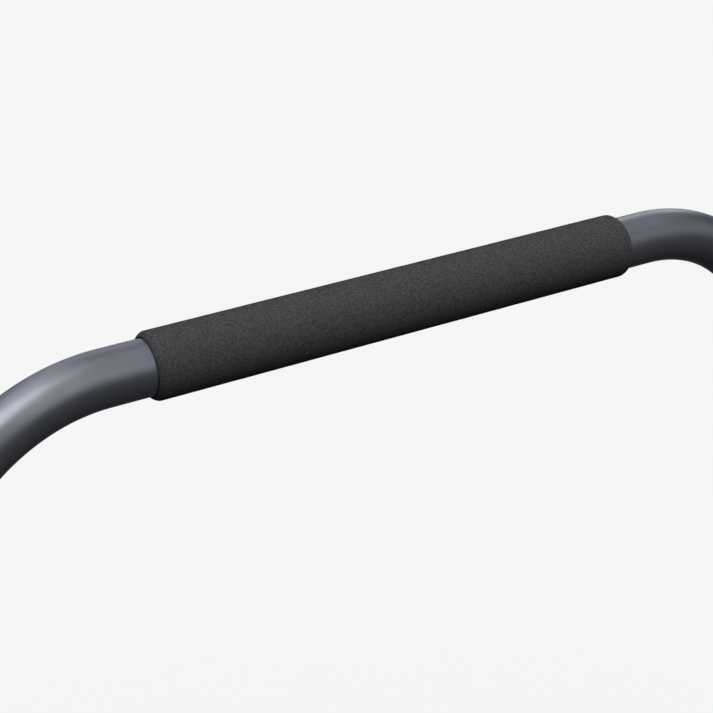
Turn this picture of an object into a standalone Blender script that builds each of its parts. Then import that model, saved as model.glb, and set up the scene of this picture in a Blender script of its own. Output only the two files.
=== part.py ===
"""Parallette bar, tall model: a training bar for supports, dips, swings and handstands.

One steel tube is bent into an arch and carries a foam grip. Each leg of the arch stands in a socket
that is welded to a base rail, and two bolts with arc washers and dome nuts hold it there. A moulded
rubber foot covers each end of the two rails.

Frame: metres, +Z up, +X along the handle, +Y from front to back. The origin is on the floor under the
middle of the handle.
"""

import math

import bmesh
import bpy
from mathutils import Vector

MM = 0.001

# Driving dimensions of the bent handle tube
tube_od = 32.0 * MM
tube_wall = 2.0 * MM
bend_radius = 122.0 * MM
leg_length = 530.0 * MM

# Foam grip, a sleeve pulled over the straight of the handle
grip_length = 332.0 * MM
grip_wall = 3.1 * MM
grip_end_round = 2.4 * MM
grip_end_reach = 4.0 * MM
grip_bore_round = 0.5 * MM
bare_straight = 23.5 * MM

# Base rails and the sockets welded to them. The rail is wider than the socket by a ledge on each side,
# which is where the weld bead sits.
socket_play = 0.5 * MM
socket_wall = 2.5 * MM
weld_ledge = 2.0 * MM
weld_radius = 2.4 * MM
weld_proud = 0.5 * MM
rail_wall = 2.0 * MM
rail_length = 420.0 * MM

# Bolt positions, measured up from the crest of the rail and down from the socket's mouth
bolt_above_rail = 25.0 * MM
bolt_spacing = 50.0 * MM
bolt_below_mouth = 20.0 * MM

# Button-head bolt, arc washer and dome nut, size M8
bolt_d = 8.0 * MM
bolt_in_nut = 8.0 * MM
bolt_tip_chamfer = 1.0 * MM
head_d = 14.0 * MM
head_height = 4.4 * MM
head_edge = 0.5 * MM
hex_key = 5.0 * MM
hex_key_depth = 2.6 * MM
hex_key_land = 0.6 * MM
bolt_hole_play = 0.5 * MM
washer_d = 18.0 * MM
washer_thickness = 1.5 * MM
nut_wall = 2.2 * MM
nut_hex_height = 6.5 * MM
nut_tip_room = 3.0 * MM
nut_crown = 4.0 * MM
nut_chamfer = 0.7 * MM

# Moulded rubber foot
foot_cover = 52.0 * MM
foot_wall = 3.2 * MM
foot_end_wall = 5.0 * MM
foot_sole = 4.7 * MM
foot_pad_flare = 4.5 * MM
foot_pad_height = 9.0 * MM
foot_pad_corner = 2.0 * MM
foot_round = 3.0 * MM
foot_groove_width = 3.0 * MM
foot_groove_depth = 1.3 * MM
foot_rib_count = 5

# Gap left wherever one piece seats on another
seat_gap = 0.3 * MM

# Facets
tube_sides = 32
round_sides = 36
foam_sides = 40
small_sides = 18
washer_sides = 20
bend_steps = 9
round_steps = 3
weld_steps = 32
weld_sides = 8
foot_arc_steps = 12
nut_dome_steps = 5

# Sizes that follow from the driving dimensions
tube_r = tube_od / 2
socket_bore_r = tube_r + socket_play
socket_r = socket_bore_r + socket_wall
rail_r = socket_r + weld_ledge
half_straight = grip_length / 2 + bare_straight
leg_x = half_straight + bend_radius
rail_z = foot_sole + seat_gap + rail_r
leg_bottom_z = rail_z + rail_r + seat_gap
bend_centre_z = leg_bottom_z + leg_length
handle_z = bend_centre_z + bend_radius
bolt_heights = {
    "lower": rail_r + bolt_above_rail,
    "upper": rail_r + bolt_above_rail + bolt_spacing,
}
socket_top = bolt_heights["upper"] + bolt_below_mouth
bolt_hole_r = bolt_d / 2 + bolt_hole_play
washer_inner_r = socket_r + seat_gap
washer_outer_r = washer_inner_r + washer_thickness
clamp_y = washer_outer_r + seat_gap
nut_bore_r = bolt_d / 2 + seat_gap
nut_across_flats = 2 * (nut_bore_r + nut_wall)
nut_bore_depth = bolt_in_nut + nut_tip_room
nut_height = nut_bore_depth + nut_crown
foot_bore_r = rail_r + seat_gap
foot_r = foot_bore_r + foot_wall
foot_half_pad = foot_r + foot_pad_flare


def clear_scene():
    for obj in list(bpy.data.objects):
        bpy.data.objects.remove(obj)


def make_material(name, colour, roughness, metallic):
    material = bpy.data.materials.new(name)
    material.use_nodes = True
    shader = material.node_tree.nodes["Principled BSDF"]
    shader.inputs["Base Color"].default_value = (*colour, 1.0)
    shader.inputs["Roughness"].default_value = roughness
    shader.inputs["Metallic"].default_value = metallic
    material.diffuse_color = (*colour, 1.0)
    return material


def add_object(name, mesh, material=None, parent=None, location=(0, 0, 0), turn=0.0):
    obj = bpy.data.objects.new(name, mesh)
    bpy.context.scene.collection.objects.link(obj)
    if material:
        mesh.materials.append(material)
    obj.parent = parent
    obj.location = location
    obj.rotation_euler.z = turn
    return obj


def loft(name, rings, wrap=False, sharp_angle=35.0):
    """A closed mesh through rings of equal point counts. wrap joins the last ring to the first, and
    without it both ends get a flat cap."""
    bm = bmesh.new()
    verts = [[bm.verts.new(point) for point in ring] for ring in rings]
    pairs = list(zip(verts, verts[1:]))
    if wrap:
        pairs.append((verts[-1], verts[0]))
    else:
        bm.faces.new(verts[0])
        bm.faces.new(verts[-1])
    for ring, following in pairs:
        for i in range(len(ring)):
            j = (i + 1) % len(ring)
            bm.faces.new((ring[i], ring[j], following[j], following[i]))
    bmesh.ops.recalc_face_normals(bm, faces=bm.faces)
    mesh = bpy.data.meshes.new(name)
    bm.to_mesh(mesh)
    bm.free()
    mesh.shade_smooth()
    mesh.set_sharp_from_angle(angle=math.radians(sharp_angle))
    return mesh


def turns(sides, start=0.0):
    """Evenly spaced angles of a ring. start turns it by that share of a facet."""
    return [2 * math.pi * (i + start) / sides for i in range(sides)]


def ring_along_x(radius, x, sides):
    return [Vector((x, radius * math.cos(a), radius * math.sin(a))) for a in turns(sides)]


def ring_along_y(radius, y, sides, start=0.0):
    return [Vector((radius * math.cos(a), y, radius * math.sin(a))) for a in turns(sides, start)]


def ring_along_z(radius, z, sides, start=0.0):
    return [Vector((radius * math.cos(a), radius * math.sin(a), z)) for a in turns(sides, start)]


def hexagon_along_y(across_flats, y, sides):
    """A hexagon with its flats up and down, with sides points so that it can join a round ring."""
    ring = []
    for a in turns(sides):
        from_flat = (a + math.pi / 6 - math.pi / 2) % (math.pi / 3) - math.pi / 6
        radius = across_flats / 2 / math.cos(from_flat)
        ring.append(Vector((radius * math.cos(a), y, radius * math.sin(a))))
    return ring


def quarter(steps):
    """Angles from 0 to a right angle, both ends included."""
    return [math.pi / 2 * i / steps for i in range(steps + 1)]


def make_cutter(name, mesh, parent=None, location=(0, 0, 0)):
    cutter = add_object(name, mesh, parent=parent, location=location)
    cutter.hide_render = True
    cutter.display_type = "WIRE"
    return cutter


def combine(target, other, operation):
    modifier = target.modifiers.new(f"{operation.lower()}_{other.name}", "BOOLEAN")
    modifier.operation = operation
    modifier.solver = "EXACT"
    modifier.object = other


def drill_leg(target, name, parent):
    """Cuts the holes for both bolts of one leg. They start half a facet round, so that no corner of a
    hole falls on an edge of the tube."""
    for level, height in bolt_heights.items():
        reach = 2 * socket_r
        rings = [ring_along_y(bolt_hole_r, y, small_sides, 0.5) for y in (-reach, reach)]
        mesh = loft(f"{name}_{level}", rings)
        combine(target, make_cutter(f"{name}_{level}", mesh, parent, (0, 0, height)), "DIFFERENCE")


def handle_ring(radius, centre, phi):
    """The tube's section where the arch's outward direction is phi, 0 at the left leg and 180 degrees
    at the right one."""
    outward = Vector((-math.cos(phi), 0, math.sin(phi)))
    across = Vector((0, 1, 0))
    return [
        centre + radius * (math.cos(a) * outward + math.sin(a) * across) for a in turns(tube_sides)
    ]


def handle_stations():
    """Centre and outward angle of each section, from the left leg's foot over the arch to the right's."""
    stations = [(Vector((-leg_x, 0, leg_bottom_z)), 0.0)]
    for bend_x, start in ((-half_straight, 0.0), (half_straight, math.pi / 2)):
        for step in quarter(bend_steps):
            phi = start + step
            outward = Vector((-math.cos(phi), 0, math.sin(phi)))
            stations.append((Vector((bend_x, 0, bend_centre_z)) + bend_radius * outward, phi))
    stations.append((Vector((leg_x, 0, leg_bottom_z)), math.pi))
    return stations


def make_handle_tube(material, sides):
    stations = handle_stations()
    outer = [handle_ring(tube_r, centre, phi) for centre, phi in stations]
    inner = [handle_ring(tube_r - tube_wall, centre, phi) for centre, phi in reversed(stations)]
    tube = add_object("handle_tube", loft("handle_tube", outer + inner, wrap=True), material)
    for side, parent in sides.items():
        drill_leg(tube, f"leg_hole_{side}", parent)
    return tube


def make_foam_grip(material):
    """A turned sleeve. Each end is rounded outside over a longer reach than its depth, and a little
    at the bore."""
    bore_r = tube_r + seat_gap
    outer_r = bore_r + grip_wall
    half = grip_length / 2
    # The two rounds of an end share its wall, the outer one taking most of it.
    outer_round = min(grip_end_round, grip_wall * 0.8)
    bore_round = min(grip_bore_round, grip_wall * 0.2)
    right = []
    for a in reversed(quarter(round_steps)):
        inset = outer_round * (1 - math.sin(a))
        right.append((half - grip_end_reach * (1 - math.cos(a)), outer_r - inset))
    for a in quarter(1):
        inset = bore_round * (1 - math.sin(a))
        right.append((half - bore_round * (1 - math.cos(a)), bore_r + inset))
    left = [(-x, r) for x, r in reversed(right)]
    rings = [ring_along_x(r, x, foam_sides) for x, r in right + left]
    return add_object(
        "foam_grip", loft("foam_grip", rings, wrap=True), material, location=(0, 0, handle_z)
    )


def saddle_point(angle, radius):
    """Where a vertical line on a cylinder of this radius meets the rail, about the rail's axis."""
    x = radius * math.cos(angle)
    return Vector((x, radius * math.sin(angle), math.sqrt(rail_r**2 - x**2)))


def weld_rings():
    """Sections of the weld bead that runs round the foot of the socket on the rail."""
    points = []
    for a in turns(weld_steps, 0.5):
        on_seam = saddle_point(a, socket_r)
        from_socket = Vector((math.cos(a), math.sin(a), 0))
        from_rail = Vector((on_seam.x, 0, on_seam.z)).normalized()
        points.append(on_seam + weld_proud * (from_socket + from_rail))
    rings = []
    for i, centre in enumerate(points):
        along = (points[(i + 1) % weld_steps] - points[i - 1]).normalized()
        outward = Vector((centre.x, centre.y, 0)).normalized()
        outward = (outward - outward.dot(along) * along).normalized()
        upward = along.cross(outward)
        rings.append(
            [
                centre + weld_radius * (math.cos(t) * outward + math.sin(t) * upward)
                for t in turns(weld_sides)
            ]
        )
    return rings


def make_base(side, parent, material):
    """A rail with its socket and weld bead, made as one welded piece about the rail's axis."""
    half = rail_length / 2
    rail_ends = [ring_along_y(rail_r, y, round_sides) for y in (-half, half)]
    base = add_object(f"base_{side}", loft(f"base_{side}", rail_ends), material, parent)

    # The socket starts inside the rail, which is bored only after the two are joined.
    root = saddle_point(0.0, socket_r).z / 2
    outer = [ring_along_z(socket_r, z, round_sides, 0.5) for z in (root, socket_top)]
    inner = [ring_along_z(socket_bore_r, z, round_sides, 0.5) for z in (socket_top, root)]
    socket = make_cutter(f"socket_{side}", loft("socket", outer + inner, wrap=True), parent)
    weld = make_cutter(f"weld_{side}", loft("weld", weld_rings(), wrap=True), parent)
    combine(base, socket, "UNION")
    combine(base, weld, "UNION")

    bore_r = rail_r - rail_wall
    bore_ends = [ring_along_y(bore_r, y, round_sides) for y in (-half - rail_wall, half + rail_wall)]
    combine(base, make_cutter(f"rail_bore_{side}", loft("rail_bore", bore_ends), parent), "DIFFERENCE")
    drill_leg(base, f"socket_hole_{side}", parent)
    return base


def foot_outline(inset, y):
    """The rubber foot's section: a round sleeve whose sides run straight down to a wider flat pad.
    inset shrinks it evenly. The points go round from the right of the pad over the top."""
    radius = foot_r - inset
    half_pad = foot_half_pad - inset
    sole = -rail_z + inset
    shoulder = -rail_z + foot_pad_height
    reach = math.hypot(half_pad, shoulder)
    tangent = math.atan2(shoulder, half_pad) + math.acos(radius / reach)
    arc = [
        tangent + (math.pi - 2 * tangent) * i / foot_arc_steps for i in range(foot_arc_steps + 1)
    ]
    top = [(radius * math.cos(a), radius * math.sin(a)) for a in arc]
    right = []
    for a in reversed(quarter(2)):
        x = half_pad - foot_pad_corner * (1 - math.cos(a))
        right.append((x, sole + foot_pad_corner * (1 - math.sin(a))))
    right.append((half_pad, shoulder))
    left = [(-x, z) for x, z in reversed(right)]
    return [Vector((x, y, z)) for x, z in right + top + left]


def foot_stations():
    """Inset and place along the rail of each section of the foot, from its mouth to its closed end."""
    mouth = -foot_cover
    end = seat_gap + foot_end_wall
    stations = [(foot_groove_depth / 2, mouth), (0.0, mouth + foot_groove_depth / 2)]
    pitch = (foot_cover + end - foot_round) / foot_rib_count
    half_groove = foot_groove_width / 2
    for rib in range(1, foot_rib_count):
        y = mouth + rib * pitch
        stations += [(0.0, y - half_groove), (foot_groove_depth, y), (0.0, y + half_groove)]
    for a in quarter(round_steps):
        stations.append((foot_round * (1 - math.cos(a)), end - foot_round * (1 - math.sin(a))))
    return stations


def make_rubber_foot(name, parent, material, turn):
    """The foot is moulded in one piece: ribs run all the way round it and are the tread below."""
    place = (0, -rail_length / 2 if turn else rail_length / 2, 0)
    mesh = loft(name, [foot_outline(inset, y) for inset, y in foot_stations()])
    foot = add_object(name, mesh, material, parent, place, turn)
    bore_ends = [ring_along_y(foot_bore_r, y, round_sides) for y in (-2 * foot_cover, seat_gap)]
    combine(foot, make_cutter(f"bore_{name}", loft("foot_bore", bore_ends), foot), "DIFFERENCE")
    return foot


def make_bolt(name, parent, material, height):
    """A button-head bolt along +Y with its head at the front. Its key hole is a hexagon."""
    under_head = -clamp_y
    head_top = under_head - head_height
    dome_r = head_d / 2
    flat_r = hex_key / 2 / math.cos(math.pi / 6) + hex_key_land
    tip = clamp_y + bolt_in_nut
    shank_r = bolt_d / 2
    head = []
    for a in quarter(round_steps):
        radius = flat_r + (dome_r - flat_r) * math.sin(a)
        head.append((radius, head_top + (head_height - head_edge) * (1 - math.cos(a))))
    rings = [
        hexagon_along_y(hex_key, head_top + hex_key_depth, small_sides),
        hexagon_along_y(hex_key, head_top, small_sides),
    ]
    rings += [ring_along_y(radius, y, small_sides) for radius, y in head]
    rings.append(ring_along_y(dome_r, under_head, small_sides))
    rings.append(ring_along_y(shank_r, under_head, small_sides))
    rings.append(ring_along_y(shank_r, tip - bolt_tip_chamfer, small_sides))
    rings.append(ring_along_y(shank_r - bolt_tip_chamfer, tip, small_sides))
    return add_object(name, loft(name, rings), material, parent, (0, 0, height))


def washer_ring(hole_r, shell_r, sides):
    """Points of a circle drawn on a vertical cylinder of radius shell_r, at its front."""
    ring = []
    for a in turns(sides):
        swing = hole_r * math.cos(a) / washer_inner_r
        height = hole_r * math.sin(a)
        ring.append(Vector((shell_r * math.sin(swing), -shell_r * math.cos(swing), height)))
    return ring


def make_washer(name, parent, material, height, turn):
    """An arc washer, pressed to the curve of the socket."""
    radii = (washer_d / 2, bolt_hole_r)
    outer = [washer_ring(radius, washer_outer_r, washer_sides) for radius in radii]
    inner = [washer_ring(radius, washer_inner_r, washer_sides) for radius in reversed(radii)]
    mesh = loft(name, outer + inner, wrap=True)
    return add_object(name, mesh, material, parent, (0, 0, height), turn)


def make_dome_nut(name, parent, material, height):
    """A dome nut along +Y, seated on the back washer, with a blind bore for the bolt's end."""
    face = clamp_y
    dome_r = nut_across_flats / 2 - nut_chamfer / 2
    dome_base = face + nut_hex_height
    dome_height = nut_height - nut_hex_height
    rings = [
        ring_along_y(nut_bore_r, face + nut_bore_depth, small_sides),
        ring_along_y(nut_bore_r, face, small_sides),
        ring_along_y(nut_across_flats / 2, face, small_sides),
        hexagon_along_y(nut_across_flats, face + nut_chamfer, small_sides),
        hexagon_along_y(nut_across_flats, dome_base - nut_chamfer, small_sides),
    ]
    for a in quarter(nut_dome_steps)[:-1]:
        radius = dome_r * math.cos(a)
        rings.append(ring_along_y(radius, dome_base + dome_height * math.sin(a), small_sides))
    return add_object(name, loft(name, rings), material, parent, (0, 0, height))


def make_side(side, x):
    """Empty that carries everything at one end of the bar. It sits on the axis of the base rail."""
    mount = bpy.data.objects.new(f"{side}_end", None)
    bpy.context.scene.collection.objects.link(mount)
    mount.location = (x, 0, rail_z)
    return mount


def main():
    clear_scene()
    coated_steel = make_material("coated_steel", (0.062, 0.066, 0.086), 0.38, 0.0)
    foam = make_material("foam", (0.047, 0.046, 0.048), 0.88, 0.0)
    rubber = make_material("rubber", (0.018, 0.018, 0.019), 0.75, 0.0)
    zinc = make_material("zinc_plate", (0.55, 0.56, 0.57), 0.32, 1.0)

    sides = {"left": make_side("left", -leg_x), "right": make_side("right", leg_x)}
    bpy.context.view_layer.update()
    make_handle_tube(coated_steel, sides)
    make_foam_grip(foam)
    for side, mount in sides.items():
        make_base(side, mount, coated_steel)
        make_rubber_foot(f"rubber_foot_{side}_front", mount, rubber, math.pi)
        make_rubber_foot(f"rubber_foot_{side}_back", mount, rubber, 0.0)
        for level, height in bolt_heights.items():
            make_bolt(f"bolt_{side}_{level}", mount, zinc, height)
            make_washer(f"washer_{side}_{level}_front", mount, zinc, height, 0.0)
            make_washer(f"washer_{side}_{level}_back", mount, zinc, height, math.pi)
            make_dome_nut(f"dome_nut_{side}_{level}", mount, zinc, height)


main()
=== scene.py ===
"""Looks of the parallette bar: fine surfaces, materials, floor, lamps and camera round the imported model.

Lengths are in metres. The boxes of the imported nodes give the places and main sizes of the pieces, and the
named values below add what a box doesn't tell. Round pieces that repeat are made once, about their own
axis, and then placed.
"""

import math

import bmesh
import bpy
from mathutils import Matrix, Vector, noise


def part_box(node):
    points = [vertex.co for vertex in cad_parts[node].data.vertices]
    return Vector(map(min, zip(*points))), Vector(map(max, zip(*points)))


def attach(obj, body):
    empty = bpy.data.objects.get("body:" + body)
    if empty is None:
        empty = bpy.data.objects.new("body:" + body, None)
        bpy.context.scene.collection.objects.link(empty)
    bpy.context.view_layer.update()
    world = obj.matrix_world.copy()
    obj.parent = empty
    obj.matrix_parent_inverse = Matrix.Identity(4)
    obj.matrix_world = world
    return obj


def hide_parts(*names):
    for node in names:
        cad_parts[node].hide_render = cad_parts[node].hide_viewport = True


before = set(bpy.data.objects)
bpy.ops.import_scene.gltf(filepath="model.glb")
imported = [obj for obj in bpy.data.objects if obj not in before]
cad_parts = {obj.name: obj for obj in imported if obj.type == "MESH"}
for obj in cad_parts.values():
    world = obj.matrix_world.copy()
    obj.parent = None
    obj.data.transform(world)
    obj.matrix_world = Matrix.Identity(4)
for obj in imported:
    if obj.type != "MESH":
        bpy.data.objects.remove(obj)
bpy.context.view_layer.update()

MM = 0.001

SIDES = {"left": -1, "right": 1}
ENDS = {"front": -1, "back": 1}
LEVELS = ("lower", "upper")

# Sizes that the nodes' boxes don't give
seat_gap = 0.3 * MM
tube_wall = 2.0 * MM
tube_edge_break = 0.35 * MM
bend_radius = 122.0 * MM
grip_bore_round = 0.5 * MM
grip_end_cut = {"left": 2.3 * MM, "right": 0.3 * MM}
grip_end_reach = {"left": 3.8 * MM, "right": 2.6 * MM}
grip_end_fullness = {"left": 1.4, "right": 2.2}
grip_lean = 2.0 * MM
grip_lean_length = 25.0 * MM
grip_lean_way = (-0.9, 0.44)  # y and z of the way in which the left end reaches furthest
grip_unevenness = 0.06 * MM
grip_dent_size = 7.0 * MM
rail_wall = 2.0 * MM
rail_edge_break = 0.4 * MM
socket_wall = 2.5 * MM
socket_mouth_round = 0.7 * MM
weld_radius = 2.4 * MM
weld_proud = 0.5 * MM
weld_ripple_depth = 0.2 * MM
bolt_d = 8.0 * MM
bolt_hole_play = 0.5 * MM
bolt_tip_chamfer = 1.0 * MM
head_height = 4.4 * MM
head_rim = 0.5 * MM
head_edge_break = 0.2 * MM
hex_key = 5.0 * MM
hex_key_depth = 2.6 * MM
hex_key_land = 0.6 * MM
hex_key_chamfer = 0.2 * MM
washer_thickness = 1.5 * MM
washer_edge_break = 0.3 * MM
nut_hex_height = 6.5 * MM
nut_chamfer = 0.7 * MM
nut_bore_depth = 11.0 * MM
nut_wall = 2.2 * MM
foot_wall = 3.2 * MM
foot_pad_height = 9.0 * MM
foot_pad_corner = 2.0 * MM
foot_shoulder_round = 2.5 * MM
foot_round = 3.0 * MM
foot_lip_round = 0.8 * MM
foot_groove_width = 3.2 * MM
foot_groove_depth = 1.3 * MM
foot_rib_count = 5

# Counts and lengths of the facets
TUBE_SIDES = 96
GRIP_SIDES = 192
BASE_SIDES = 120
SMALL_SIDES = 72
BEND_STEPS = 60
EDGE_STEPS = 4
DOME_STEPS = 12
RIPPLES = 64
STEPS_PER_RIPPLE = 6
WELD_SIDES = 16
FOOT_ARC_STEPS = 64
GROOVE_STEPS = 10
LEG_PITCH = 6.0 * MM
GRIP_PITCH = 2.0 * MM
RAIL_PITCH = 4.0 * MM
SOCKET_PITCH = 3.0 * MM
WASHER_PITCH = 1.0 * MM


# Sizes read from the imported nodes

def middle_height(node):
    low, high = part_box(node)
    return (low.z + high.z) / 2


tube_low, tube_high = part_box("handle_tube")
tube_r = tube_high.y
leg_x = tube_high.x - tube_r
handle_z = tube_high.z - tube_r
leg_bottom_z = tube_low.z
half_straight = leg_x - bend_radius
bend_centre_z = handle_z - bend_radius

grip_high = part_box("foam_grip")[1]
base_low, base_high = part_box("base_right")
foot_low, foot_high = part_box("rubber_foot_right_back")
rail_r = (foot_high.z - base_low.z - seat_gap - foot_wall) / 2
rail_z = base_low.z + rail_r
rail_half = base_high.y
socket_top = base_high.z - rail_z

bolt_heights = {level: middle_height(f"bolt_right_{level}") for level in LEVELS}
bolt_low, bolt_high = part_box("bolt_right_lower")
head_r = (bolt_high.z - bolt_low.z) / 2
washer_low, washer_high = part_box("washer_right_lower_front")
washer_r = (washer_high.z - washer_low.z) / 2
washer_outer_r = -washer_low.y
washer_inner_r = washer_outer_r - washer_thickness
socket_r = washer_inner_r - seat_gap
clamp_y = washer_outer_r + seat_gap
nut_low, nut_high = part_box("dome_nut_right_lower")
bolt_hole_r = bolt_d / 2 + bolt_hole_play


# Rings, lofts and cuts

def turns(sides, start=0.0):
    """Evenly spaced angles of a ring. start turns it by that share of a facet."""
    return [2 * math.pi * (i + start) / sides for i in range(sides)]


def quarter(steps):
    """Angles from 0 to a right angle, both ends included."""
    return [math.pi / 2 * i / steps for i in range(steps + 1)]


def spaced(start, end, pitch):
    """Values from start to end, both included, no further apart than pitch."""
    steps = max(1, math.ceil(abs(end - start) / pitch))
    return [start + (end - start) * i / steps for i in range(steps + 1)]


def ring_along_x(radius, x, sides):
    return [Vector((x, radius * math.cos(a), radius * math.sin(a))) for a in turns(sides)]


def ring_along_y(radius, y, sides, start=0.0):
    return [Vector((radius * math.cos(a), y, radius * math.sin(a))) for a in turns(sides, start)]


def ring_along_z(radius, z, sides, start=0.0):
    return [Vector((radius * math.cos(a), radius * math.sin(a), z)) for a in turns(sides, start)]


def hexagon_radius(across_flats, angle):
    """Distance from the centre to the edge of a hexagon whose flats face up and down."""
    from_flat = (angle + math.pi / 6 - math.pi / 2) % (math.pi / 3) - math.pi / 6
    return across_flats / 2 / math.cos(from_flat)


def hexagon_along_y(across_flats, y, limit=math.inf):
    """A hexagon whose corners are turned off at a radius of limit."""
    ring = []
    for a in turns(SMALL_SIDES):
        radius = min(hexagon_radius(across_flats, a), limit)
        ring.append(Vector((radius * math.cos(a), y, radius * math.sin(a))))
    return ring


def shade(piece, sharp=32.0):
    """Smooths the shading but keeps edges hard that bend by more than sharp degrees."""
    piece.data.shade_smooth()
    piece.data.set_sharp_from_angle(angle=math.radians(sharp))
    return piece


def loft(name, rings, wrap=False, sharp=32.0):
    """An object whose skin runs through rings of equal point counts. Its ends are capped unless it
    wraps round from the last ring to the first."""
    bm = bmesh.new()
    verts = [[bm.verts.new(point) for point in ring] for ring in rings]
    pairs = list(zip(verts, verts[1:]))
    if wrap:
        pairs.append((verts[-1], verts[0]))
    else:
        bm.faces.new(verts[0])
        bm.faces.new(verts[-1])
    for ring, following in pairs:
        for i in range(len(ring)):
            j = (i + 1) % len(ring)
            bm.faces.new((ring[i], ring[j], following[j], following[i]))
    bmesh.ops.recalc_face_normals(bm, faces=bm.faces)
    mesh = bpy.data.meshes.new(name)
    bm.to_mesh(mesh)
    bm.free()
    piece = bpy.data.objects.new(name, mesh)
    bpy.context.scene.collection.objects.link(piece)
    return shade(piece, sharp)


def combine(piece, other, operation):
    """Joins another object to the piece or cuts it out, and uses it up."""
    modifier = piece.modifiers.new(operation, "BOOLEAN")
    modifier.operation = operation
    modifier.solver = "EXACT"
    modifier.object = other
    depsgraph = bpy.context.evaluated_depsgraph_get()
    mesh = bpy.data.meshes.new_from_object(piece.evaluated_get(depsgraph))
    piece.modifiers.clear()
    piece.data = mesh
    bpy.data.objects.remove(other)


def drill(piece, places):
    """Cuts bolt holes through the piece at the (x, z) places of their axes."""
    for x, z in places:
        rings = [ring_along_y(bolt_hole_r, y, SMALL_SIDES, 0.5) for y in (-2 * socket_r, 2 * socket_r)]
        cutter = loft("bolt_hole", rings)
        cutter.location = (x, 0, z)
        combine(piece, cutter, "DIFFERENCE")


# Materials

def new_material(name):
    material = bpy.data.materials.new(name)
    material.use_nodes = True
    tree = material.node_tree
    return material, tree, tree.nodes["Principled BSDF"]


def grain(tree, cells_per_metre, detail=3.0, roughness=0.5):
    """Noise over the piece's own coordinates."""
    place = tree.nodes.new("ShaderNodeTexCoord")
    texture = tree.nodes.new("ShaderNodeTexNoise")
    texture.inputs["Scale"].default_value = cells_per_metre
    texture.inputs["Detail"].default_value = detail
    texture.inputs["Roughness"].default_value = roughness
    tree.links.new(place.outputs["Object"], texture.inputs["Vector"])
    return texture.outputs["Fac"]


def stretched(tree, value, low, high, start=0.0, end=1.0):
    """Turns start..end into low..high."""
    node = tree.nodes.new("ShaderNodeMapRange")
    node.inputs["From Min"].default_value = start
    node.inputs["From Max"].default_value = end
    node.inputs["To Min"].default_value = low
    node.inputs["To Max"].default_value = high
    tree.links.new(value, node.inputs["Value"])
    return node.outputs["Result"]


def roughen(tree, shader, value, low, high):
    """Roughness that goes from low to high over the middle of a noise's range."""
    tree.links.new(stretched(tree, value, low, high, 0.3, 0.7), shader.inputs["Roughness"])


def paint(tree, shader, value, dark, pale):
    """Base colour that goes from dark to pale over the middle of a noise's range."""
    ramp = tree.nodes.new("ShaderNodeValToRGB")
    for element, position, colour in zip(ramp.color_ramp.elements, (0.35, 0.65), (dark, pale)):
        element.position = position
        element.color = (*colour, 1.0)
    tree.links.new(value, ramp.inputs["Fac"])
    tree.links.new(ramp.outputs["Color"], shader.inputs["Base Color"])


def relief(tree, shader, layers):
    """Bump of several layers, each a height and its depth."""
    normal = None
    for height, depth in layers:
        node = tree.nodes.new("ShaderNodeBump")
        node.inputs["Distance"].default_value = depth
        tree.links.new(height, node.inputs["Height"])
        if normal:
            tree.links.new(normal, node.inputs["Normal"])
        normal = node.outputs["Normal"]
    tree.links.new(normal, shader.inputs["Normal"])


def coated_steel():
    """Slate powder coat with a satin gloss, a faint orange peel and slightly uneven tone. The base is
    darker than the coat looks, because its gloss also shows the pale surroundings."""
    material, tree, shader = new_material("coated_steel")
    paint(tree, shader, grain(tree, 35.0, 4.0), (0.041, 0.043, 0.051), (0.046, 0.048, 0.057))
    roughen(tree, shader, grain(tree, 60.0, 5.0), 0.35, 0.41)
    shader.inputs["Metallic"].default_value = 0.28
    shader.inputs["Specular IOR Level"].default_value = 0.0
    shader.inputs["Specular Tint"].default_value = (0.45, 0.45, 0.45, 1.0)
    peel = grain(tree, 700.0, 2.0)
    grit = grain(tree, 3500.0, 2.0)
    relief(tree, shader, ((peel, 0.006 * MM), (grit, 0.002 * MM)))
    return material


def grip_foam():
    """Charcoal foam rubber with a fine open grain."""
    material, tree, shader = new_material("grip_foam")
    cells = grain(tree, 800.0, 4.0, 0.65)
    paint(tree, shader, cells, (0.035, 0.0345, 0.037), (0.075, 0.074, 0.079))
    shader.inputs["Roughness"].default_value = 0.88
    shader.inputs["Specular IOR Level"].default_value = 0.0
    pits = grain(tree, 900.0, 4.0, 0.6)
    lumps = grain(tree, 120.0, 2.0)
    relief(tree, shader, ((lumps, 0.15 * MM), (pits, 0.12 * MM), (cells, 0.06 * MM)))
    return material


def moulded_rubber():
    """Black rubber with the dull, finely sparked skin of its mould."""
    material, tree, shader = new_material("moulded_rubber")
    paint(tree, shader, grain(tree, 300.0, 4.0), (0.013, 0.013, 0.0135), (0.020, 0.020, 0.0205))
    roughen(tree, shader, grain(tree, 90.0, 4.0), 0.55, 0.72)
    shader.inputs["Specular IOR Level"].default_value = 0.25
    relief(tree, shader, ((grain(tree, 1800.0), 0.03 * MM), (grain(tree, 150.0), 0.03 * MM)))
    return material


def zinc_plate():
    """Bright zinc on the fasteners, a little cloudy, with a faint grain."""
    material, tree, shader = new_material("zinc_plate")
    paint(tree, shader, grain(tree, 500.0, 5.0, 0.7), (0.46, 0.47, 0.48), (0.58, 0.59, 0.60))
    roughen(tree, shader, grain(tree, 400.0, 4.0), 0.24, 0.38)
    shader.inputs["Metallic"].default_value = 1.0
    relief(tree, shader, ((grain(tree, 1600.0), 0.006 * MM),))
    return material


slot_materials = {
    "coated_steel": coated_steel(),
    "foam": grip_foam(),
    "rubber": moulded_rubber(),
    "zinc_plate": zinc_plate(),
}


# Pieces and their copies

def finish_piece(piece, slot, node):
    """Gives a piece its material and its body, and hides the imported node that it stands for."""
    piece.data.materials.clear()
    piece.data.materials.append(slot_materials[slot])
    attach(piece, "root")
    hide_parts(node)


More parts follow.
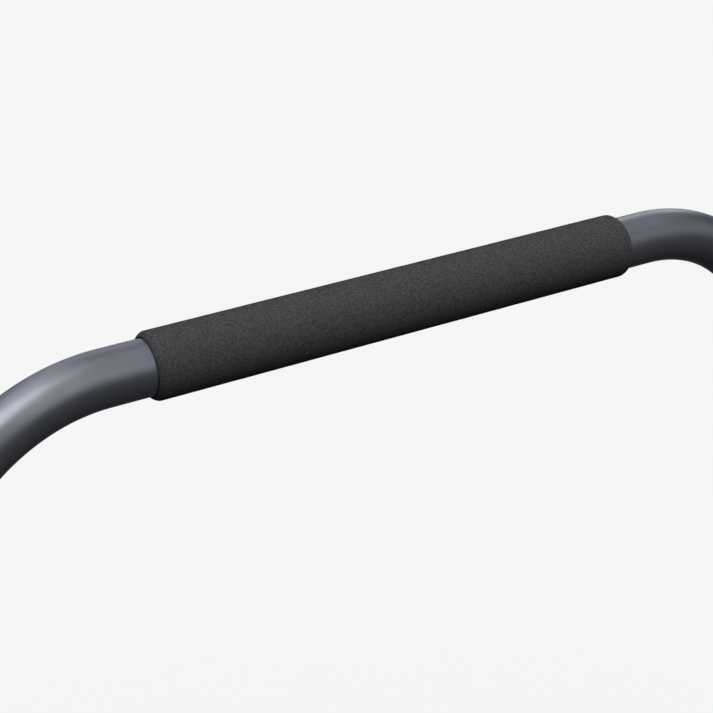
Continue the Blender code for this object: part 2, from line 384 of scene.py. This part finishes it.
def place_copy(pattern, name, location, turn, slot, node):
    """Puts a copy of a piece that repeats in its place, turned about the vertical."""
    piece = pattern.copy()
    piece.name = name
    piece.data = pattern.data.copy()
    bpy.context.scene.collection.objects.link(piece)
    piece.location = location
    piece.rotation_euler.z = turn
    finish_piece(piece, slot, node)


# Bent tube and its grip

def handle_ring(radius, centre, phi):
    """The tube's section where the arch's outward direction is phi, 0 at the left leg."""
    outward = Vector((-math.cos(phi), 0, math.sin(phi)))
    across = Vector((0, 1, 0))
    return [centre + radius * (math.cos(a) * outward + math.sin(a) * across) for a in turns(TUBE_SIDES)]


def handle_stations():
    """Centre and outward angle of each section, from the left leg's end over the arch to the right's."""
    leg_heights = spaced(leg_bottom_z + tube_edge_break, bend_centre_z, LEG_PITCH)[:-1]
    stations = [(Vector((-leg_x, 0, z)), 0.0) for z in leg_heights]
    for bend_x, start in ((-half_straight, 0.0), (half_straight, math.pi / 2)):
        for step in quarter(BEND_STEPS):
            phi = start + step
            outward = Vector((-math.cos(phi), 0, math.sin(phi)))
            stations.append((Vector((bend_x, 0, bend_centre_z)) + bend_radius * outward, phi))
    stations += [(Vector((leg_x, 0, z)), math.pi) for z in reversed(leg_heights)]
    return stations


def make_handle_tube():
    stations = handle_stations()
    left_end = (Vector((-leg_x, 0, leg_bottom_z)), 0.0)
    right_end = (Vector((leg_x, 0, leg_bottom_z)), math.pi)
    bore_r = tube_r - tube_wall
    rings = [handle_ring(tube_r - tube_edge_break, *left_end)]
    rings += [handle_ring(tube_r, *station) for station in stations]
    rings += [handle_ring(tube_r - tube_edge_break, *right_end), handle_ring(bore_r, *right_end)]
    rings += [handle_ring(bore_r, *station) for station in reversed(stations)]
    rings.append(handle_ring(bore_r, *left_end))
    tube = loft("bent_tube", rings, wrap=True)
    drill(tube, [(side * leg_x, z) for side in SIDES.values() for z in bolt_heights.values()])
    finish_piece(shade(tube), "coated_steel", "handle_tube")


def sleeve_end(side, outer_r, bore_r):
    """Places and radii of one end of the sleeve, as if it were the right one, from the skin over the
    rim to the bore. A fullness of 1 makes it a cone and 2 a quarter of an ellipse."""
    end_x = grip_high.x - grip_end_cut[side]
    reach = grip_end_reach[side]
    power = 2 / grip_end_fullness[side]
    depth = outer_r - bore_r - grip_bore_round
    profile = []
    for a in reversed(quarter(3 * EDGE_STEPS)):
        x = end_x - reach * (1 - math.cos(a) ** power)
        profile.append((x, outer_r - depth * (1 - math.sin(a) ** power)))
    for a in quarter(EDGE_STEPS)[1:]:
        inset = grip_bore_round * (1 - math.sin(a))
        profile.append((end_x - grip_bore_round * (1 - math.cos(a)), bore_r + inset))
    return profile


def lean(point, left_x, outer_r):
    """How far this point of the sleeve stands out to the left. The left end is cut a little out of
    square, and the slant fades out along the sleeve."""
    near_end = max(0.0, 1 - (point.x - left_x) / grip_lean_length)
    way_y, way_z = grip_lean_way
    return grip_lean * near_end * (point.y * way_y + point.z * way_z) / outer_r


def make_foam_grip():
    """A turned sleeve with soft ends, whose skin is slightly uneven as foam's is. The left end is
    rounded flatter than the right one and reaches furthest at its front and top."""
    outer_r = grip_high.y
    bore_r = tube_r + seat_gap
    right_end = sleeve_end("right", outer_r, bore_r)
    left_end = [(-x, r) for x, r in reversed(sleeve_end("left", outer_r, bore_r))]
    along = spaced(left_end[-1][0], right_end[0][0], GRIP_PITCH)[1:-1]
    skin = [(x, outer_r) for x in along] + right_end
    bore = [(x, bore_r) for x in reversed(along)] + left_end
    rings = [ring_along_x(radius, x, GRIP_SIDES) for x, radius in skin + bore]
    for ring in rings:
        for point in ring:
            radius = math.hypot(point.y, point.z)
            share = max(0.0, (radius - bore_r) / (outer_r - bore_r))
            dent = grip_unevenness * share * (1 + noise.noise(point / grip_dent_size))
            point.y *= 1 - dent / radius
            point.z *= 1 - dent / radius
            point.x -= lean(point, left_end[0][0], outer_r)
    grip = loft("foam_sleeve", rings, wrap=True, sharp=60.0)
    grip.location = (0, 0, handle_z)
    finish_piece(grip, "foam", "foam_grip")


# Base rails with their sockets, about the rail's axis

def saddle_point(angle, radius):
    """Where a vertical line on a cylinder of this radius meets the rail."""
    x = radius * math.cos(angle)
    return Vector((x, radius * math.sin(angle), math.sqrt(rail_r**2 - x**2)))


def weld_rings():
    """Sections of the rippled weld bead that runs round the foot of the socket."""
    steps = RIPPLES * STEPS_PER_RIPPLE
    centres = []
    for a in turns(steps, 0.5):
        on_seam = saddle_point(a, socket_r)
        from_socket = Vector((math.cos(a), math.sin(a), 0))
        from_rail = Vector((on_seam.x, 0, on_seam.z)).normalized()
        centres.append(on_seam + weld_proud * (from_socket + from_rail))
    rings = []
    for i, centre in enumerate(centres):
        along = (centres[(i + 1) % steps] - centres[i - 1]).normalized()
        outward = Vector((centre.x, centre.y, 0)).normalized()
        outward = (outward - outward.dot(along) * along).normalized()
        upward = along.cross(outward)
        in_ripple = (i % STEPS_PER_RIPPLE) / STEPS_PER_RIPPLE
        radius = weld_radius - weld_ripple_depth * (1 - math.sin(math.pi * in_ripple))
        spokes = [math.cos(t) * outward + math.sin(t) * upward for t in turns(WELD_SIDES, 0.5)]
        rings.append([centre + radius * spoke for spoke in spokes])
    return rings


def make_base_pattern():
    """One base: the rail, the socket and the weld bead joined, and then bored and drilled."""
    rail_rings = [ring_along_y(rail_r - rail_edge_break, -rail_half, BASE_SIDES)]
    for y in spaced(-rail_half + rail_edge_break, rail_half - rail_edge_break, RAIL_PITCH):
        rail_rings.append(ring_along_y(rail_r, y, BASE_SIDES))
    rail_rings.append(ring_along_y(rail_r - rail_edge_break, rail_half, BASE_SIDES))
    base = loft("base", rail_rings)

    root = saddle_point(0.0, socket_r).z / 2
    bore_r = socket_r - socket_wall
    shoulder = socket_top - socket_mouth_round
    heights = spaced(root, shoulder, SOCKET_PITCH)[:-1]
    mouth = [
        (socket_mouth_round * (1 - math.cos(a)), shoulder + socket_mouth_round * math.sin(a))
        for a in quarter(EDGE_STEPS)
    ]
    profile = [(socket_r, z) for z in heights]
    profile += [(socket_r - inset, z) for inset, z in mouth]
    profile += [(bore_r + inset, z) for inset, z in reversed(mouth)]
    profile += [(bore_r, z) for z in reversed(heights)]
    socket = loft("socket", [ring_along_z(r, z, BASE_SIDES, 0.5) for r, z in profile], wrap=True)
    combine(base, socket, "UNION")
    combine(base, loft("weld", weld_rings(), wrap=True), "UNION")

    bore_ends = [ring_along_y(rail_r - rail_wall, y, BASE_SIDES) for y in (-2 * rail_half, 2 * rail_half)]
    combine(base, loft("rail_bore", bore_ends), "DIFFERENCE")
    drill(base, [(0, z - rail_z) for z in bolt_heights.values()])
    return shade(base)


# Rubber feet, about the rail's axis, with y = 0 at the rail's end

def rounded(corners):
    """An outline through corners of (x, z, radius), each rounded by an arc. The ends stay sharp."""
    outline = []
    for i, (x, z, radius) in enumerate(corners):
        if radius == 0:
            outline.append((x, z))
            continue
        corner = Vector((x, z))
        before = (Vector(corners[i - 1][:2]) - corner).normalized()
        after = (Vector(corners[i + 1][:2]) - corner).normalized()
        half_angle = before.angle(after) / 2
        centre = corner + (before + after).normalized() * radius / math.sin(half_angle)
        start = corner + before * radius / math.tan(half_angle) - centre
        end = corner + after * radius / math.tan(half_angle) - centre
        sweep = start.angle(end)
        for step in range(EDGE_STEPS + 1):
            share = step / EDGE_STEPS
            spoke = start * math.sin((1 - share) * sweep) + end * math.sin(share * sweep)
            outline.append(tuple(centre + spoke / math.sin(sweep)))
    return outline


def foot_outline(inset, y):
    """The foot's section: a round sleeve whose sides run straight down to a wider flat pad. inset
    shrinks it evenly. The points go round from the middle of the sole over the top."""
    radius = foot_high.z - rail_z - inset
    half_pad = (foot_high.x - foot_low.x) / 2 - inset
    sole = -rail_z + inset
    shoulder = -rail_z + foot_pad_height
    reach = math.hypot(half_pad, shoulder)
    tangent = math.atan2(shoulder, half_pad) + math.acos(radius / reach)
    seat = (radius * math.cos(tangent), radius * math.sin(tangent))
    right = rounded(
        [
            (0.0, sole, 0.0),
            (half_pad, sole, foot_pad_corner),
            (half_pad, shoulder, foot_shoulder_round),
            (*seat, 0.0),
        ]
    )
    arc = [tangent + (math.pi - 2 * tangent) * i / FOOT_ARC_STEPS for i in range(1, FOOT_ARC_STEPS)]
    top = [(radius * math.cos(a), radius * math.sin(a)) for a in arc]
    left = [(-x, z) for x, z in reversed(right[1:])]
    return [Vector((x, y, z)) for x, z in right + top + left]


def foot_stations():
    """Inset and place along the rail of each section of the foot, from its mouth to its closed end."""
    mouth = rail_half - foot_low.y
    end = foot_high.y - rail_half
    stations = [
        (foot_lip_round * (1 - math.sin(a)), -mouth + foot_lip_round * (1 - math.cos(a)))
        for a in quarter(EDGE_STEPS)
    ]
    pitch = (mouth + end - foot_round) / foot_rib_count
    for rib in range(1, foot_rib_count):
        for step in range(GROOVE_STEPS + 1):
            along = 2 * step / GROOVE_STEPS - 1
            inset = foot_groove_depth * (1 - along**2) ** 2
            stations.append((inset, -mouth + rib * pitch + along * foot_groove_width / 2))
    for a in quarter(2 * EDGE_STEPS):
        stations.append((foot_round * (1 - math.cos(a)), end - foot_round * (1 - math.sin(a))))
    return stations


def make_foot_pattern():
    """One foot, closed towards the back and bored for the rail from the front."""
    foot = loft("foot", [foot_outline(inset, y) for inset, y in foot_stations()])
    bore_ends = [ring_along_y(rail_r + seat_gap, y, BASE_SIDES) for y in (-rail_half, seat_gap)]
    combine(foot, loft("foot_bore", bore_ends), "DIFFERENCE")
    return shade(foot, 40.0)


# Fasteners, about the bolt's axis and the leg's

def make_bolt_pattern():
    """A button-head bolt along +Y with its head at the front and a hexagon socket in it."""
    under_head = -clamp_y
    head_top = under_head - head_height
    flat_r = hexagon_radius(hex_key, 0.0) + hex_key_land
    tip = bolt_high.y
    shank_r = bolt_d / 2
    rings = [
        hexagon_along_y(hex_key, head_top + hex_key_depth),
        hexagon_along_y(hex_key, head_top + hex_key_chamfer),
        hexagon_along_y(hex_key + 2 * hex_key_chamfer, head_top),
    ]
    for a in quarter(DOME_STEPS):
        radius = flat_r + (head_r - flat_r) * math.sin(a)
        y = head_top + (head_height - head_rim) * (1 - math.cos(a))
        rings.append(ring_along_y(radius, y, SMALL_SIDES))
    for radius, y in (
        (head_r, under_head - head_edge_break),
        (head_r - head_edge_break, under_head),
        (shank_r, under_head),
        (shank_r, tip - bolt_tip_chamfer),
        (shank_r - bolt_tip_chamfer, tip),
    ):
        rings.append(ring_along_y(radius, y, SMALL_SIDES))
    return loft("bolt", rings)


def washer_ring(hole_r, shell_r):
    """Points of a circle drawn on a vertical cylinder of radius shell_r, at its front."""
    ring = []
    for a in turns(SMALL_SIDES):
        swing = hole_r * math.cos(a) / washer_inner_r
        ring.append(Vector((shell_r * math.sin(swing), -shell_r * math.cos(swing), hole_r * math.sin(a))))
    return ring


def make_washer_pattern():
    """An arc washer, pressed to the curve of the socket, with the edges of its outer face rounded."""
    edge = washer_edge_break
    rim = [
        (edge * (1 - math.cos(a)), washer_outer_r - edge * (1 - math.sin(a))) for a in quarter(EDGE_STEPS)
    ]
    outer_face = spaced(washer_r - edge, bolt_hole_r + edge, WASHER_PITCH)
    inner_face = spaced(bolt_hole_r, washer_r, WASHER_PITCH)
    profile = [(washer_r - inset, shell) for inset, shell in rim]
    profile += [(radius, washer_outer_r) for radius in outer_face[1:]]
    profile += [(bolt_hole_r + inset, shell) for inset, shell in reversed(rim[:-1])]
    profile += [(radius, washer_inner_r) for radius in inner_face]
    return loft("washer", [washer_ring(radius, shell) for radius, shell in profile], wrap=True)


def make_nut_pattern():
    """A dome nut along +Y. The corners of its hexagon are turned off by a cone at both faces."""
    face = nut_low.y
    bore_r = bolt_d / 2 + seat_gap
    flats_r = bore_r + nut_wall
    across_flats = 2 * flats_r
    corner_r = hexagon_radius(across_flats, 0.0)
    dome_base = face + nut_hex_height
    dome_height = nut_high.y - dome_base
    dome_r = flats_r - nut_chamfer / 2
    turned = [
        (flats_r + (corner_r - flats_r) * step / EDGE_STEPS, nut_chamfer * step / EDGE_STEPS)
        for step in range(EDGE_STEPS + 1)
    ]
    rings = [ring_along_y(bore_r, y, SMALL_SIDES) for y in (face + nut_bore_depth, face)]
    rings += [hexagon_along_y(across_flats, face + depth, limit) for limit, depth in turned]
    rings += [hexagon_along_y(across_flats, dome_base - depth, limit) for limit, depth in reversed(turned)]
    for a in quarter(DOME_STEPS)[:-1]:
        radius = dome_r * math.cos(a)
        rings.append(ring_along_y(radius, dome_base + dome_height * math.sin(a), SMALL_SIDES))
    return loft("nut", rings, sharp=28.0)


def make_all_pieces():
    make_handle_tube()
    make_foam_grip()
    base, foot = make_base_pattern(), make_foot_pattern()
    bolt, washer, nut = make_bolt_pattern(), make_washer_pattern(), make_nut_pattern()
    for side, side_sign in SIDES.items():
        x = side_sign * leg_x
        place_copy(base, f"welded_base_{side}", (x, 0, rail_z), 0.0, "coated_steel", f"base_{side}")
        for end, end_sign in ENDS.items():
            name = f"ribbed_foot_{side}_{end}"
            place = (x, end_sign * rail_half, rail_z)
            turn = 0.0 if end == "back" else math.pi
            place_copy(foot, name, place, turn, "rubber", f"rubber_foot_{side}_{end}")
        for level, z in bolt_heights.items():
            spot = f"{side}_{level}"
            place_copy(bolt, f"button_bolt_{spot}", (x, 0, z), 0.0, "zinc_plate", f"bolt_{spot}")
            place_copy(nut, f"cap_nut_{spot}", (x, 0, z), 0.0, "zinc_plate", f"dome_nut_{spot}")
            for end in ENDS:
                name = f"arc_washer_{spot}_{end}"
                turn = 0.0 if end == "front" else math.pi
                place_copy(washer, name, (x, 0, z), turn, "zinc_plate", f"washer_{spot}_{end}")
    for pattern in (base, foot, bolt, washer, nut):
        bpy.data.objects.remove(pattern)


# Studio

# Tones as shares of full white. The camera and the gloss see background and floor_tone, and the light
# that falls on things comes from fill_light and floor_bounce instead.
background = 0.918
floor_tone = 0.28
fill_light = 0.03
floor_bounce = 0.06

floor_half = 30.0
softbox_half_width = 22.0
plain = (1.0, 1.0, 1.0)
warm = (1.0, 0.97, 0.90)

# Name, azimuth, elevation and level of each softbox, with angles in degrees here and below
softboxes = (
    ("overhead", 0.0, 88.0, 0.36),
    ("front_left", -36.0, 48.0, 0.44),
    ("front_right", 20.0, 45.0, 0.30),
    ("back_left", -155.0, 60.0, 0.22),
)

# Name, azimuth, elevation, half width, level and tint of each reflector
reflectors = (
    ("reflector_left", -67.0, 66.0, 24.0, 7.48, warm),
    ("reflector_front", 12.0, 33.0, 25.0, 2.0, plain),
    ("reflector_right", 85.0, 64.0, 26.0, 1.44, plain),
    ("reflector_side", 66.0, 12.0, 20.0, 0.77, plain),
    ("reflector_back", 132.0, 20.0, 12.0, 1.9, plain),
    ("reflector_high", -168.0, 56.0, 18.0, 1.87, plain),
    ("reflector_rim", 162.0, 24.0, 18.0, 1.36, plain),
)


def direction(azimuth, elevation):
    """The way to a place round the object. Azimuth 0 is the front and 90 the right, in degrees."""
    a, e = math.radians(azimuth), math.radians(elevation)
    return Vector((math.sin(a) * math.cos(e), -math.cos(a) * math.cos(e), math.sin(e)))


def seen_directly(tree):
    """1 for what the camera, reflections and glass see, and 0 for the light that falls on things."""
    rays = tree.nodes.new("ShaderNodeLightPath")
    total = rays.outputs["Is Camera Ray"]
    for kind in ("Is Glossy Ray", "Is Transmission Ray"):
        either = tree.nodes.new("ShaderNodeMath")
        either.operation = "MAXIMUM"
        tree.links.new(total, either.inputs[0])
        tree.links.new(rays.outputs[kind], either.inputs[1])
        total = either.outputs["Value"]
    return total


def make_world():
    """A pale surround to look at, which lights things only a little."""
    world = bpy.data.worlds.new("studio")
    world.use_nodes = True
    tree = world.node_tree
    strength = stretched(tree, seen_directly(tree), fill_light, background)
    tree.links.new(strength, tree.nodes["Background"].inputs["Strength"])
    tree.nodes["Background"].inputs["Color"].default_value = (1.0, 1.0, 1.0, 1.0)
    bpy.context.scene.world = world


def make_floor(light_on_floor):
    """A pale floor that shows the background's tone where nothing shades it. light_on_floor is what
    falls on it, as a share of full white."""
    bm = bmesh.new()
    bmesh.ops.create_grid(bm, x_segments=1, y_segments=1, size=floor_half)
    mesh = bpy.data.meshes.new("floor")
    bm.to_mesh(mesh)
    bm.free()
    floor = bpy.data.objects.new("floor", mesh)
    bpy.context.scene.collection.objects.link(floor)
    material = bpy.data.materials.new("pale_floor")
    material.use_nodes = True
    tree = material.node_tree
    tree.nodes.remove(tree.nodes["Principled BSDF"])
    matt = tree.nodes.new("ShaderNodeBsdfDiffuse")
    tone = stretched(tree, seen_directly(tree), floor_bounce, floor_tone)
    tree.links.new(tone, matt.inputs["Color"])
    glow = tree.nodes.new("ShaderNodeEmission")
    strength = stretched(tree, seen_directly(tree), 0.0, background - floor_tone * light_on_floor)
    tree.links.new(strength, glow.inputs["Strength"])
    both = tree.nodes.new("ShaderNodeAddShader")
    tree.links.new(matt.outputs["BSDF"], both.inputs[0])
    tree.links.new(glow.outputs["Emission"], both.inputs[1])
    tree.links.new(both.outputs["Shader"], tree.nodes["Material Output"].inputs["Surface"])
    mesh.materials.append(material)


def make_softbox(name, azimuth, elevation, half_width, level):
    """A distant round softbox. half_width is in degrees, and level is the share of full white that it
    alone gives a white surface square to it."""
    light = bpy.data.lights.new(name, "SUN")
    light.angle = math.radians(2 * half_width)
    light.energy = level * math.pi
    lamp = bpy.data.objects.new(name, light)
    bpy.context.scene.collection.objects.link(lamp)
    lamp.rotation_euler = direction(azimuth, elevation).to_track_quat("Z", "Y").to_euler()
    return lamp


def make_reflector(name, azimuth, elevation, half_width, level, tint, shown_in):
    """A softbox that shows only in the gloss of the given pieces and lights nothing."""
    lamp = make_softbox(name, azimuth, elevation, half_width, level)
    lamp.data.color = tint
    lamp.visible_diffuse = False
    lamp.light_linking.receiver_collection = shown_in


def make_studio(coated_pieces):
    light_on_floor = fill_light
    for name, azimuth, elevation, level in softboxes:
        make_softbox(name, azimuth, elevation, softbox_half_width, level)
        light_on_floor += level * math.sin(math.radians(elevation))
    shown_in = bpy.data.collections.new("coated_pieces")
    for piece in coated_pieces:
        shown_in.objects.link(piece)
    for reflector in reflectors:
        make_reflector(*reflector, shown_in)
    make_world()
    make_floor(light_on_floor)


# Camera, in the photograph's frame

frame_width_px = 713
focal_length_px = 2198.6
sensor_width_mm = 36.0
camera_azimuth = -35.34
camera_elevation = 22.75
camera_distance = 1252.4 * MM
aim_x = -26.39 * MM
aim_below_handle = 27.02 * MM


def make_camera():
    lens = bpy.data.cameras.new("camera")
    lens.sensor_width = sensor_width_mm
    lens.lens = focal_length_px / frame_width_px * sensor_width_mm
    lens.clip_start = 0.01
    lens.clip_end = 200.0
    camera = bpy.data.objects.new("camera", lens)
    bpy.context.scene.collection.objects.link(camera)
    aim = Vector((aim_x, 0, handle_z - aim_below_handle))
    back = direction(camera_azimuth, camera_elevation)
    camera.location = aim + camera_distance * back
    camera.rotation_euler = (-back).to_track_quat("-Z", "Y").to_euler()
    bpy.context.scene.camera = camera


bpy.context.scene.view_settings.view_transform = "Standard"
make_camera()
make_all_pieces()
make_studio([bpy.data.objects[name] for name in ("bent_tube", "welded_base_left", "welded_base_right")])
